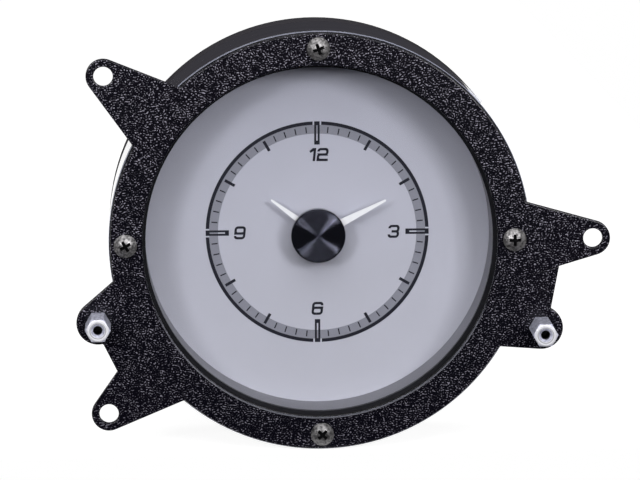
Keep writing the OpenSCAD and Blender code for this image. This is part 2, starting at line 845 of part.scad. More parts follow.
module bush_nut() {
    color([0.75, 0.65, 0.4]) upright() translate([0, 0, dial_face + print_t]) difference() {
        hexagon(nut_flats, nut_h);
        translate([0, 0, -cut]) cylinder(r = bush_d / 2 + thread_gap, h = nut_h + 2 * cut);
    }
}

module centre_bush() {
    color([0.8, 0.68, 0.4]) upright()
        disc(bush_d / 2, bush_top, plate_inner, hour_tube_d / 2 + run_gap);
}

module minute_arbor() {
    shoulder = plate_rear + end_gap;
    color([0.7, 0.7, 0.72]) upright() {
        disc(arbor_d / 2, arbor_top, shoulder);
        disc(pivot_d / 2, shoulder + eps, movement_back + end_gap);
        toothed(cannon_teeth, motion_module, motion_layer + pinion_over,
            motion_layer - motion_wheel_t - pinion_over, arbor_d / 2 - eps, motion_dir);
    }
}

module minute_wheel() {
    color([0.82, 0.7, 0.42]) upright()
        toothed(minute_teeth, minute_module, minute_layer, minute_layer - minute_wheel_t,
            arbor_d / 2 + seat_gap, third_dir);
}

module hour_wheel() {
    bore = arbor_d / 2 + run_gap;
    color([0.82, 0.7, 0.42]) upright() {
        toothed(hour_teeth, hour_module, hour_layer, hour_layer - hour_wheel_t, bore, motion_dir, true);
        disc(hour_tube_d / 2, tube_top, hour_layer - hour_wheel_t, bore);
    }
}

module motion_wheel() {
    bore = stud_d / 2 + run_gap;
    color([0.82, 0.7, 0.42]) upright() at(motion_at) {
        toothed(motion_teeth, motion_module, motion_layer, motion_layer - motion_wheel_t, bore,
            motion_dir + 180, true);
        toothed(motion_pinion_teeth, hour_module, hour_layer + pinion_over, motion_layer - eps, bore,
            motion_dir + 180);
    }
}

module third_wheel() {
    color([0.82, 0.7, 0.42]) upright() at(third_at) {
        disc(small_arbor_d / 2, plate_inner - end_gap, plate_rear + end_gap);
        disc(small_pivot_d / 2, guide_back - end_gap, movement_back + end_gap);
        toothed(third_pinion_teeth, minute_module, minute_layer + pinion_over,
            minute_layer - minute_wheel_t - pinion_over, small_arbor_d / 2 - eps, third_dir + 180, true);
        toothed(third_teeth, third_module, third_layer, third_layer - third_wheel_t,
            small_arbor_d / 2 - eps, rotor_dir);
    }
}

module rotor_arbor() {
    color([0.7, 0.7, 0.72]) upright() at(rotor_at) {
        disc(small_arbor_d / 2, plate_inner - end_gap, plate_rear + end_gap);
        disc(small_pivot_d / 2, guide_back - end_gap, movement_back + end_gap);
        toothed(rotor_pinion_teeth, third_module, third_layer + pinion_over,
            third_layer - third_wheel_t - pinion_over, small_arbor_d / 2 - eps, rotor_dir + 180, true);
    }
}

module rotor_magnet() {
    color([0.25, 0.25, 0.27]) upright() at(rotor_at)
        disc(magnet_r, magnet_layer, magnet_layer - magnet_l, small_arbor_d / 2 + seat_gap);
}

module stator() {
    arm = stator_arm_w;
    color([0.6, 0.6, 0.62]) upright() translate([0, 0, stator_layer - stator_t])
        difference() {
            linear_extrude(stator_t) {
                at(rotor_at) circle(r = stator_disc_r);
                translate([stator_left - arm / 2, rotor_at[1] - arm / 2])
                    square([rotor_at[0] - stator_left + arm / 2, arm]);
                for (x = [stator_left, rotor_at[0]])
                    translate([x - arm / 2, core_y - arm / 2]) square([arm, rotor_at[1] - core_y + arm]);
            }
            at(rotor_at, -cut) cylinder(r = stator_eye_r, h = stator_t + 2 * cut);
        }
}

core_middle = stator_layer - 1.5 * stator_t;
bobbin_mid_x = (stator_left + rotor_at[0]) / 2;
bobbin_l = rotor_at[0] - stator_left - stator_arm_w - 2 * bobbin_end_gap;

module coil_core() {
    l = rotor_at[0] - stator_left + stator_arm_w;
    color([0.55, 0.55, 0.57]) upright() translate([bobbin_mid_x, core_y, 0])
        slab(l, stator_arm_w * 0.8, stator_layer - stator_t, stator_layer - 2 * stator_t);
}

module core_hole(l)
    slab(l, stator_arm_w * 0.8 + 2 * thread_gap, core_middle + stator_t / 2 + thread_gap,
        core_middle - stator_t / 2 - thread_gap);

module coil_bobbin() {
    spool_w = stator_arm_w * 0.8 + 2 * bobbin_wall;
    spool_t = stator_t + 2 * bobbin_wall;
    color([0.15, 0.15, 0.16]) upright() translate([bobbin_mid_x, core_y, 0]) difference() {
        union() {
            slab(bobbin_l, spool_w, core_middle + spool_t / 2, core_middle - spool_t / 2);
            for (side = [-1, 1]) translate([side * (bobbin_l - bobbin_wall) / 2, 0, 0])
                slab(bobbin_wall, bobbin_w, core_middle + bobbin_t / 2, core_middle - bobbin_t / 2);
        }
        core_hole(bobbin_l + 2 * cut);
    }
}

module coil_winding() {
    wound = 0.6;
    spool_w = stator_arm_w * 0.8 + 2 * bobbin_wall + 2 * thread_gap;
    spool_t = stator_t + 2 * bobbin_wall + 2 * thread_gap;
    l = bobbin_l - 2 * bobbin_wall - 2 * thread_gap;
    color([0.72, 0.4, 0.2]) upright() translate([bobbin_mid_x, core_y, 0]) difference() {
        slab(l, spool_w + 2 * wound, core_middle + spool_t / 2 + wound, core_middle - spool_t / 2 - wound);
        slab(l + 2 * cut, spool_w, core_middle + spool_t / 2, core_middle - spool_t / 2);
    }
}

module pivot_holes(top, bottom)
    for (p = [third_at, rotor_at]) at(p, bottom) cylinder(r = small_pivot_d / 2 + run_gap, h = top - bottom);

module movement_front_plate() {
    color([0.82, 0.7, 0.42]) upright() {
        difference() {
            disc(plate_d / 2, guide_back, plate_inner, bush_d / 2 + seat_gap);
            pivot_holes(guide_back + cut, plate_inner - cut);
        }
        at(motion_at) disc(stud_d / 2, plate_inner + eps, motion_layer - motion_wheel_t - pinion_over);
    }
}

module movement_back_plate() {
    color([0.82, 0.7, 0.42]) upright() difference() {
        disc(plate_d / 2, plate_rear, movement_back, pivot_d / 2 + run_gap);
        pivot_holes(plate_rear + cut, movement_back - cut);
        around(pillar_angles, pillar_reach) translate([0, 0, movement_back - cut])
            cylinder(r = movement_screw_d / 2 + thread_gap, h = plate_t + 2 * cut);
    }
}

pillar_tap_depth = 4;

module movement_pillars() {
    color([0.75, 0.76, 0.78]) upright() around(pillar_angles, pillar_reach) difference() {
        disc(pillar_r, plate_inner, plate_rear);
        translate([0, 0, plate_rear - cut])
            cylinder(r = movement_screw_d / 2 + thread_gap, h = pillar_tap_depth + cut);
    }
}

module movement_screws() {
    head_h = 0.8;
    color([0.5, 0.5, 0.52]) upright() around(pillar_angles, pillar_reach)
        translate([0, 0, movement_back]) rotate([180, 0, 0])
            pan_screw(movement_screw_d, movement_screw_d * 1.9, head_h, plate_t + pillar_tap_depth - 0.3);
}

module light_guide() {
    color([0.9, 0.93, 0.95, 0.8]) upright()
        disc(dial_r, dial_back, guide_back, bush_d / 2 + window_gap);
}

// Circuit board and what is on it

module circuit_board() {
    color([0.1, 0.35, 0.2]) upright() difference() {
        disc(board_r, board_front, board_back, board_hole_r);
        around(post_angles, post_reach) translate([0, 0, board_back - cut])
            cylinder(r = board_screw_d / 2 + pass_gap, h = board_t + 2 * cut);
    }
}

module backlight_leds() {
    step = 360 / led_count;
    color([0.95, 0.95, 0.85]) upright() around([0:step:359], led_reach)
        slab(led_w, led_l, board_front + led_h, board_front);
}

module controller_chip() {
    color([0.1, 0.1, 0.1]) upright() around([180], led_reach)
        slab(chip_side, chip_side, board_back, board_back - chip_h);
}

module timing_crystal() {
    end_r = crystal_w / 2;
    color([0.75, 0.76, 0.78]) upright() around([205], led_reach) rotate(90)
        translate([0, 0, board_back - crystal_h]) linear_extrude(crystal_h) {
            square([crystal_l - crystal_w, crystal_w], center = true);
            for (side = [-1, 1]) translate([side * (crystal_l / 2 - end_r), 0]) circle(r = end_r);
        }
}

module filter_capacitor() {
    color([0.7, 0.7, 0.72]) upright() around([335], led_reach)
        disc(capacitor_d / 2, board_back, board_back - capacitor_h);
}

post_tap_depth = 4;

module board_screws() {
    head_h = 1.5;
    color([0.6, 0.6, 0.62]) upright() around(post_angles, post_reach) translate([0, 0, board_front])
        pan_screw(board_screw_d, board_screw_head_d, head_h, board_t + post_tap_depth - 0.3);
}

button_places = [[-button_x, button_rise], [button_x, button_rise]];

module set_switches() {
    color([0.12, 0.12, 0.13]) upright() for (p = button_places) at(p) difference() {
        slab(switch_side, switch_side, board_back, switch_top);
        translate([0, 0, switch_top - cut]) cylinder(r = switch_hole_r, h = switch_h - 0.6 + cut);
    }
}

module set_button(p) {
    flange_rear = can_end + end_gap / 2;
    flange_front = flange_rear + button_flange_t;
    color([0.7, 0.7, 0.7]) upright() at(p) {
        disc(button_d / 2, flange_rear + eps, cover_back - button_out);
        disc(button_flange_r, flange_front, flange_rear);
        disc(button_nub_r, switch_top + 0.5, flange_front - eps);
    }
}

module hour_button() set_button(button_places[0]);

module minute_button() set_button(button_places[1]);

// Case

module housing_can() {
    inner_r = can_r - can_wall;
    rib_w = column_r;
    color([0.06, 0.06, 0.065]) upright() difference() {
        union() {
            disc(can_r, bezel_back, can_end, inner_r);
            around(quarter_turns, screw_circle_r) {
                disc(column_r, bezel_back, can_end);
                translate([0, -rib_w / 2, can_end])
                    cube([can_r - screw_circle_r - can_wall / 2, rib_w, bezel_back - can_end]);
            }
            for (a = quarter_turns) rotate(a) translate([ledge_reach, -ledge_w / 2, guide_back - ledge_h])
                cube([screw_circle_r - ledge_reach, ledge_w, ledge_h]);
        }
        face_screw_holes(thread_r, bezel_back + cut, bezel_back - column_tap_depth);
        face_screw_holes(thread_r, can_end + column_rear_tap_depth, can_end - cut);
    }
}

module rear_cover() {
    spigot_r = screw_circle_r - column_r - 2 * pass_gap;
    color([0.06, 0.06, 0.065]) upright() difference() {
        union() {
            disc(can_r, can_end, cover_back + cover_bevel);
            translate([0, 0, cover_back])
                cylinder(r1 = can_r - cover_bevel, r2 = can_r, h = cover_bevel + eps);
            disc(spigot_r, can_end + spigot_h, can_end - eps, spigot_r - spigot_wall);
            around(post_angles, post_reach) disc(post_d / 2, board_back, can_end - eps);
        }
        face_screw_holes(pass_r, can_end + cut, cover_back - cut);
        around(post_angles, post_reach) translate([0, 0, board_back - post_tap_depth])
            cylinder(r = board_screw_d / 2 + thread_gap, h = post_tap_depth + cut);
        for (p = button_places) at(p, cover_back - cut)
            cylinder(r = button_d / 2 + run_gap, h = cover_t + 2 * cut);
        translate([0, -block_drop, 0])
            slab(block_l + 2 * window_gap, block_w + 2 * window_gap, can_end + cut, cover_back - cut);
    }
}

module cover_screws() {
    cover_screw_turn = 15;
    color([0.33, 0.31, 0.3]) upright() around(quarter_turns, screw_circle_r)
        translate([0, 0, cover_back]) rotate([180, 0, 0])
            pan_screw(screw_d, screw_head_d, screw_head_h, cover_screw_l, cover_screw_turn);
}

module ways() for (i = [0:way_count - 1])
    translate([(i - (way_count - 1) / 2) * way_pitch, -block_drop, 0]) children();

module terminal_block() {
    color([0.1, 0.4, 0.25]) upright() difference() {
        translate([0, -block_drop, 0]) slab(block_l, block_w, board_back, block_back);
        ways() translate([0, -block_w / 2 - cut, wire_level]) rotate([-90, 0, 0])
            cylinder(r = wire_hole_d / 2, h = wire_hole_depth + cut);
        ways() translate([0, 0, block_back - cut]) cylinder(r = clamp_recess_d / 2, h = clamp_recess_h + cut);
        ways() translate([0, 0, block_back])
            cylinder(r = clamp_thread_d / 2 + thread_gap, h = clamp_tip_depth + 2 * end_gap);
    }
}

module terminal_screws() {
    head_top = block_back + clamp_recess_h;
    slot_w = 0.6;
    color([0.7, 0.7, 0.72]) upright() ways() difference() {
        union() {
            disc(clamp_head_d / 2, head_top, head_top - clamp_head_h);
            disc(clamp_thread_d / 2, block_back + clamp_tip_depth, head_top - eps);
        }
        slab(clamp_head_d + cut, slot_w, head_top - clamp_head_h / 2, head_top - clamp_head_h - cut);
    }
}

mounting_bracket();
standoff_left();
standoff_right();
standoff_screws();
bracket_screws();
lens();
lens_gasket();
front_bezel();
reflector_ring();
dial_plate();
minute_band();
dial_marks();
dial_numerals();
minute_hand();
hour_hand();
hub_cap();
bush_nut();
centre_bush();
minute_arbor();
minute_wheel();
hour_wheel();
motion_wheel();
third_wheel();
rotor_arbor();
rotor_magnet();
stator();
coil_core();
coil_bobbin();
coil_winding();
movement_front_plate();
movement_back_plate();
movement_pillars();
movement_screws();
light_guide();
circuit_board();
backlight_leds();
controller_chip();
timing_crystal();
filter_capacitor();
board_screws();
set_switches();
hour_button();
minute_button();
housing_can();
rear_cover();
cover_screws();
terminal_block();
terminal_screws();
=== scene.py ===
import math

import bmesh
import bpy
from mathutils import Matrix, Vector


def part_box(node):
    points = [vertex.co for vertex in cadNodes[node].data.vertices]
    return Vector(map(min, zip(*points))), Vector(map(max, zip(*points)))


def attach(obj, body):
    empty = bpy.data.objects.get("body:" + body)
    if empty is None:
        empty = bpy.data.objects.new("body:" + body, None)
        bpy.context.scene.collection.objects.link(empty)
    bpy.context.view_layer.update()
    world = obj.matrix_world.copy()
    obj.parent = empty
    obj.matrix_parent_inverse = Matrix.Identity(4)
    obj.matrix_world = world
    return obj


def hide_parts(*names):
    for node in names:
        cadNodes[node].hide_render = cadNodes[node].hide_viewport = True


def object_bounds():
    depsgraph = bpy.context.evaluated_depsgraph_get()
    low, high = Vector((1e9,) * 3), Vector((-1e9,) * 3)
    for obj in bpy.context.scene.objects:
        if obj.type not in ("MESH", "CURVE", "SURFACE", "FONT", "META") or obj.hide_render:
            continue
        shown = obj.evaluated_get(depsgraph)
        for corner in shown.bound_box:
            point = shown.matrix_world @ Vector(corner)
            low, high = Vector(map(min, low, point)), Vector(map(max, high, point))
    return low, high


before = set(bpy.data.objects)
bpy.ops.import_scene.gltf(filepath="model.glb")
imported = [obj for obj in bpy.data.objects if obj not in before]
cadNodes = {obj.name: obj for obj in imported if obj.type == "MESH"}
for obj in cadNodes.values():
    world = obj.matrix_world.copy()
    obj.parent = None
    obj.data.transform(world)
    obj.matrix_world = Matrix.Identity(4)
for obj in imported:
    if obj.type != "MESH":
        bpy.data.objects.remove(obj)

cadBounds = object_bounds()
mm = 0.001
white = (1, 1, 1)
noiseRange = (0.3, 0.7)  # where nearly all values of a noise lie
noiseCore = (0.35, 0.65)  # the middle of them, for more contrast
print("frame loaded with", len(cadNodes), "nodes")


def spaced(values):  # socket names as the nodes spell them
    return {key.replace("_", " "): value for key, value in values.items()}


class Wire:  # a shader socket that takes part in sums
    def __init__(self, finish, socket):
        self.finish = finish
        self.socket = socket

    def sum(self, operation, first, second):
        return self.finish.add("ShaderNodeMath", {"operation": operation}, {0: first, 1: second})

    def __add__(self, other):
        return self.sum("ADD", self, other)

    def __sub__(self, other):
        return self.sum("SUBTRACT", self, other)

    def __rsub__(self, other):
        return self.sum("SUBTRACT", other, self)

    def __mul__(self, other):
        return self.sum("MULTIPLY", self, other)

    __radd__ = __add__
    __rmul__ = __mul__


class Finish:  # a material or a world, and what makes its nodes
    def __init__(self, name, data=None, **values):
        self.data = data or bpy.data.materials.new(name)
        self.data.use_nodes = True
        self.tree = self.data.node_tree
        self.shader = self.tree.nodes.get("Principled BSDF")
        if self.shader:
            self.wear(**values)

    def plug(self, node, values):  # links a wire and sets any other value
        for key, value in values.items():
            if isinstance(value, Wire):
                self.tree.links.new(value.socket, node.inputs[key])
            else:
                node.inputs[key].default_value = value

    def wear(self, **values):  # on the shader's own sockets
        self.plug(self.shader, spaced(values))

    def add(self, kind, settings=None, values=None, output=0):  # any node, from its type
        node = self.tree.nodes.new(kind)
        for key, value in (settings or {}).items():
            setattr(node, key, value)
        self.plug(node, values or {})
        return Wire(self, node.outputs[output])

    def place(self, stretch=None):  # where on the object, in metres
        spot = self.add("ShaderNodeTexCoord", output="Object")
        return self.add("ShaderNodeMapping", {}, {"Vector": spot, "Scale": stretch}) if stretch else spot

    def noise(self, perMetre, detail=2, stretch=None, spot=None, **values):
        where = spot or self.place(stretch)
        values = {"Vector": where, "Scale": perMetre, "Detail": detail, **values}
        return self.add("ShaderNodeTexNoise", {}, values)

    def radius(self, centre=(0, 0, 0), across=(1, 0, 1)):  # distance from an axis, by default the dial's
        spot = self.add("ShaderNodeVectorMath", {"operation": "SUBTRACT"}, {0: self.place(), 1: centre})
        flat = self.add("ShaderNodeVectorMath", {"operation": "MULTIPLY"}, {0: spot, 1: across})
        return self.add("ShaderNodeVectorMath", {"operation": "LENGTH"}, {0: flat}, "Value")

    def along(self, axis):  # one coordinate: Y is the distance behind the bracket's face
        return self.add("ShaderNodeSeparateXYZ", {}, {0: self.place()}, axis)

    def lathe(self, radius, pitch):  # the wave that a tool leaves round an axis
        return self.add("ShaderNodeMath", {"operation": "SINE"}, {0: radius * (2 * math.pi / pitch)})

    def spread(self, value, start, end, low=0.0, high=1.0, smooth=False):  # start to end becomes low to high
        kind = {"interpolation_type": "SMOOTHSTEP" if smooth else "LINEAR"}
        return self.add("ShaderNodeMapRange", kind, {0: value, 1: start, 2: end, 3: low, 4: high})

    def between(self, mask, first, second):  # the first colour at 0, the second at 1
        pair = [value if isinstance(value, Wire) else (*value, 1) for value in (first, second)]
        return self.add("ShaderNodeMix", {"data_type": "RGBA"}, {0: mask, 6: pair[0], 7: pair[1]}, 2)

    def relief(self, height, depth, **values):  # depth is how far a height of 1 stands up
        bump = self.add("ShaderNodeBump", {}, {"Height": height, "Distance": depth, **spaced(values)})
        self.wear(Normal=bump)

    def body(self):  # what the shader gives
        return Wire(self, self.shader.outputs[0])

    def cover(self, shader):  # puts another shader on the surface
        self.plug(self.tree.nodes["Material Output"], {"Surface": shader})


def tint(colour, factor):
    return tuple(channel * factor for channel in colour)


def dress(finish, *names):
    for name in names:
        slots = cadNodes[name].data.materials
        for index in range(len(slots)):
            slots[index] = finish.data


def dressAll(make, shared, kinds):  # each kind's own settings hold before the shared ones
    for name, settings in kinds.items():
        dress(make(name, {**shared, **settings}), *settings["on"])


# Bracket: wrinkle paint whose short raised grains stand off a smooth ground, their pale colour a painted
# glint that painted shade dims towards the bottom, and a painted highlight along the low edge of its opening
bracket = {
    "ground": (0.0012, 0.0010, 0.0036),
    # the grains' pale tone is a painted glint, the highlight that the raised grains catch
    "grain": (0.285, 0.271, 0.332),
    "lowShade": 0.50,  # painted shade: what is left of the grains' painted glint at the bottom
    "lowHeight": (-60 * mm, 30 * mm),
    "patch": 1.15 * mm,
    "ripples": 1.80,  # waves in a patch
    "crest": (0.54, 0.77),  # the part of a wave that is a grain
    "grainHeight": 0.030 * mm,
    "finePerMetre": 3200,
    "fineShare": 0.06,
    "roughness": (0.20, 0.30),
    "refraction": 1.32,
    "bareTo": (51.3 * mm, 51.6 * mm),  # no grains on the opening's wall
    # painted highlight along the low edge of the opening, where its wall faces up to the lamps
    "paintedEdgeHighlight": (0.088, 0.090, 0.108),
    "edgeHighlightDepth": (0.9 * mm, 0.6 * mm),
    "edgeHighlightRadius": (51.50 * mm, 51.40 * mm),
    "edgeHighlightHeight": (-18.0 * mm, -24.0 * mm),
    "mergeWithin": 0.001 * mm,
    "flatWithin": 0.5,  # angles in degrees
    "sharpAngle": 40,
    "smoothBelow": 11,
    "edge": 0.30 * mm,
    "edgeSteps": 3,
    "mostCorners": 4,  # of a face that isn't cut into triangles
}


def wrinklePaint():
    finish = Finish("wrinklePaint", IOR=bracket["refraction"])
    radius = finish.radius()
    wave = {"Vector": finish.place(), "Scale": 1 / bracket["patch"], "Frequency": bracket["ripples"]}
    ripple = finish.add("ShaderNodeTexGabor", {"gabor_type": "3D"}, {**wave, "Anisotropy": 0})
    # the grains are raised in the relief below, and their pale colour is a painted glint
    grain = finish.spread(ripple, *bracket["crest"], smooth=True) * finish.spread(radius, *bracket["bareTo"])
    # painted shade dims the grains' painted glint towards the bottom
    paintedLight = grain * finish.spread(finish.along("Z"), *bracket["lowHeight"], bracket["lowShade"], 1)
    # painted highlight on the opening's wall, only low down and near the front
    inner = finish.spread(radius, *bracket["edgeHighlightRadius"])
    low = finish.spread(finish.along("Z"), *bracket["edgeHighlightHeight"])
    paintedEdgeHighlight = inner * low * finish.spread(finish.along("Y"), *bracket["edgeHighlightDepth"])
    fine = finish.noise(bracket["finePerMetre"])
    paint = finish.between(paintedLight, bracket["ground"], bracket["grain"])
    finish.wear(Base_Color=finish.between(paintedEdgeHighlight, paint, bracket["paintedEdgeHighlight"]),
                Roughness=finish.spread(fine, *noiseRange, *bracket["roughness"]))
    finish.relief((grain + fine * bracket["fineShare"]) * (1 - paintedEdgeHighlight), bracket["grainHeight"])
    return finish


def bracketPlate():  # a copy of the solid with rounded edges
    mesh = cadNodes["mounting_bracket"].data.copy()
    mesh.name = "bracketPlate"
    flat, sharp, smooth = (math.radians(bracket[key]) for key in ("flatWithin", "sharpAngle", "smoothBelow"))
    work = bmesh.new()
    work.from_mesh(mesh)
    bmesh.ops.remove_doubles(work, verts=work.verts, dist=bracket["mergeWithin"])
    bmesh.ops.dissolve_limit(work, angle_limit=flat, verts=work.verts, edges=work.edges)
    rims = [edge for edge in work.edges if edge.is_manifold and edge.calc_face_angle() > sharp]
    bmesh.ops.bevel(work, geom=rims, offset=bracket["edge"], offset_type="OFFSET",
                    segments=bracket["edgeSteps"], profile=0.5, affect="EDGES", material=-1)
    large = [face for face in work.faces if len(face.verts) > bracket["mostCorners"]]
    bmesh.ops.triangulate(work, faces=large)
    work.to_mesh(mesh)
    work.free()
    mesh.materials.clear()
    mesh.materials.append(wrinklePaint().data)
    plate = bpy.data.objects.new("bracketPlate", mesh)
    bpy.context.scene.collection.objects.link(plate)
    for polygon in mesh.polygons:
        polygon.use_smooth = True
    mesh.set_sharp_from_angle(angle=smooth)
    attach(plate, "case")
    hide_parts("mounting_bracket")
    print("bracket plate:", len(mesh.polygons), "faces")


bracketPlate()

# Metals: a base tone with slow mottling, fine scratches, mostly across one axis, and a little relief
metalSurface = {"mottlePerMetre": 240, "mottleShare": 0.6, "scratchesPerMetre": 1400, "relief": 0.006 * mm}
metals = {
    "zincScrew": {
        "colour": (0.80, 0.80, 0.84), "mottle": 0.14, "roughness": (0.36, 0.50), "scratch": (1, 1, 6),
        "on": ["standoff_screws"],
    },
    "brightSteel": {
        "colour": (0.60, 0.60, 0.62), "mottle": 0.08, "roughness": (0.16, 0.26), "scratch": (1, 4, 1),
        "on": ["minute_arbor", "rotor_arbor", "movement_pillars", "movement_screws", "board_screws",
               "terminal_screws"],
    },
    "wheelBrass": {
        "colour": (0.66, 0.48, 0.20), "mottle": 0.12, "roughness": (0.24, 0.36), "scratch": (5, 1, 1),
        "on": ["minute_wheel", "hour_wheel", "motion_wheel", "third_wheel", "centre_bush", "bush_nut",
               "movement_front_plate", "movement_back_plate"],
    },
    "magnetGrey": {
        "colour": (0.10, 0.10, 0.11), "mottle": 0.25, "roughness": (0.42, 0.55), "scratch": (1, 1, 1),
        "on": ["rotor_magnet"],
    },
    "stampedIron": {
        "colour": (0.42, 0.42, 0.44), "mottle": 0.18, "roughness": (0.34, 0.48), "scratch": (1, 8, 1),
        "on": ["stator", "coil_core"],
    },
    "canMetal": {
        "colour": (0.55, 0.56, 0.58), "mottle": 0.08, "roughness": (0.22, 0.32), "scratch": (1, 5, 1),
        "on": ["timing_crystal", "filter_capacitor"],
    },
}


def metalFinish(name, metal):
    finish = Finish(name, Metallic=1.0)
    mottle = finish.noise(metal["mottlePerMetre"], detail=3)
    lines = finish.noise(metal["scratchesPerMetre"], detail=3, stretch=metal["scratch"])
    tone = finish.spread(mottle * metal["mottleShare"] + lines * (1 - metal["mottleShare"]), *noiseCore)
    finish.wear(Base_Color=finish.between(tone, tint(metal["colour"], 1 - metal["mottle"]), metal["colour"]),
                Roughness=finish.spread(lines, *noiseRange, *metal["roughness"]))
    finish.relief(lines, metal["relief"])
    return finish


dressAll(metalFinish, metalSurface, metals)

# Pan heads: dark steel, dimpled by the header, with painted shade that darkens them towards the bottom and a
# painted shadow, black, inside the cross recess
panHead = {
    "colour": (0.36, 0.35, 0.355),
    "dull": (0.090, 0.087, 0.090),
    "metal": 0.80,
    "roughness": (0.32, 0.55),
    "mottlePerMetre": 1500,
    "mottleRange": (0.35, 0.60),
    "mottleShare": 0.6,  # of the dimples, beside the patches
    "patchesPerMetre": 700,
    "dimple": 0.060 * mm,
    # painted shade: the heads darken towards the bottom
    "lowHeight": (-56 * mm, -10 * mm),
    "lowShade": 0.45,
    "circle": 56.0 * mm,  # where the solids' heads are, and the shape of their domes
    "height": 2.0 * mm,
    "domeRadius": 4.99 * mm,
    # painted shadow inside the cross recess, also the colour that the painted shade goes towards
    "recess": (0.004, 0.004, 0.005),
    "recessDepth": (0.10 * mm, 0.35 * mm),  # below the dome
    "recessRoughness": 0.4,
}


def panHeadFinish(name, seat, side):  # the heads stand on the plane Y = seat and point to side
    finish = Finish(name, Metallic=panHead["metal"])
    reach, dome = panHead["circle"], panHead["domeRadius"]
    nearest = None
    for centre in ((reach, 0, 0), (-reach, 0, 0), (0, 0, reach), (0, 0, -reach)):
        away = finish.radius(centre)
        nearest = nearest.sum("MINIMUM", nearest, away) if nearest else away
    bulge = finish.add("ShaderNodeMath", {"operation": "SQRT"}, {0: dome ** 2 - nearest * nearest})
    level = (finish.along("Y") - seat) * side
    # where the painted shadow lies in the cross recess, which is also rougher
    recess = finish.spread(bulge + (panHead["height"] - dome) - level, *panHead["recessDepth"])
    mottle = finish.noise(panHead["mottlePerMetre"], detail=3)
    patch = finish.noise(panHead["patchesPerMetre"], detail=1)
    steel = finish.between(finish.spread(mottle, *panHead["mottleRange"]), panHead["dull"], panHead["colour"])
    # painted shade towards the bottom
    paintedLight = finish.spread(finish.along("Z"), *panHead["lowHeight"], panHead["lowShade"], 0)
    steel = finish.between(paintedLight, steel, panHead["recess"])
    rough = finish.spread(patch, *noiseCore, *panHead["roughness"]) + recess * panHead["recessRoughness"]
    finish.wear(Base_Color=finish.between(recess, steel, panHead["recess"]), Roughness=rough)
    finish.relief(mottle * panHead["mottleShare"] + patch, panHead["dimple"])
    return finish


dress(panHeadFinish("faceScrews", 0, -1), "bracket_screws")
dress(panHeadFinish("coverScrews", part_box("cover_screws")[1].y - panHead["height"], 1), "cover_screws")

# Standoffs: zinc plated, with a darker ring on the turned front, duller flats, and painted shade darkening
# down the tapped hole
zincPlate = {
    "colour": (0.88, 0.88, 0.94),
    "metal": 0.30,
    "mottle": 0.24,
    "mottlePerMetre": 520,
    "roughness": (0.40, 0.52),
    "ring": 2.25 * mm,
    "ringWidth": 0.22 * mm,
    "ringShade": 0.62,
    "groove": 0.16 * mm,
    "grooveDepth": 0.006 * mm,
    "flats": (0.10 * mm, 0.20 * mm),  # where they begin, behind the front
    "flatTone": (0.66, 0.67, 0.80),
    "flatDull": (0.34, 0.35, 0.44),
    "streaksPerMetre": 1300,
    "streakStretch": (1, 0.4, 1),
    "streakRange": (0.40, 0.70),
    # painted shade down the tapped hole, also the colour of the darker ring
    "hole": (0.004, 0.004, 0.006),
    "holeRadius": (1.52 * mm, 1.38 * mm),
    "holeDepth": (0.4 * mm, 2.6 * mm),
}


def standoffFinish(name):
    low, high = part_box(name)
    finish = Finish("zincPlate" + name.title().replace("_", ""), Metallic=zincPlate["metal"])
    radius = finish.radius(tuple((low + high) / 2))
    depth = finish.along("Y") - low.y
    # painted shade deepening down the tapped hole
    hole = finish.spread(radius, *zincPlate["holeRadius"]) * finish.spread(depth, *zincPlate["holeDepth"])
    away = finish.add("ShaderNodeMath", {"operation": "ABSOLUTE"}, {0: radius - zincPlate["ring"]})
    ring = finish.spread(away, zincPlate["ringWidth"], 0, 0, zincPlate["ringShade"])
    mottle = finish.noise(zincPlate["mottlePerMetre"], detail=3)
    zinc = finish.between(mottle, tint(zincPlate["colour"], 1 - zincPlate["mottle"]), zincPlate["colour"])
    zinc = finish.between(ring, zinc, zincPlate["hole"])
    streak = finish.noise(zincPlate["streaksPerMetre"], detail=3, stretch=zincPlate["streakStretch"])
    streak = finish.spread(streak, *zincPlate["streakRange"])
    flat = finish.between(streak, zincPlate["flatTone"], zincPlate["flatDull"])
    zinc = finish.between(finish.spread(depth, *zincPlate["flats"]), zinc, flat)
    finish.wear(Base_Color=finish.between(hole, zinc, zincPlate["hole"]),
                Roughness=finish.spread(mottle, *noiseRange, *zincPlate["roughness"]))
    finish.relief(finish.lathe(radius, zincPlate["groove"]) + mottle, zincPlate["grooveDepth"])
    return finish


for name in ("standoff_left", "standoff_right"):
    dress(standoffFinish(name), name)
print("metals:", len(metals), "and the screws and standoffs")

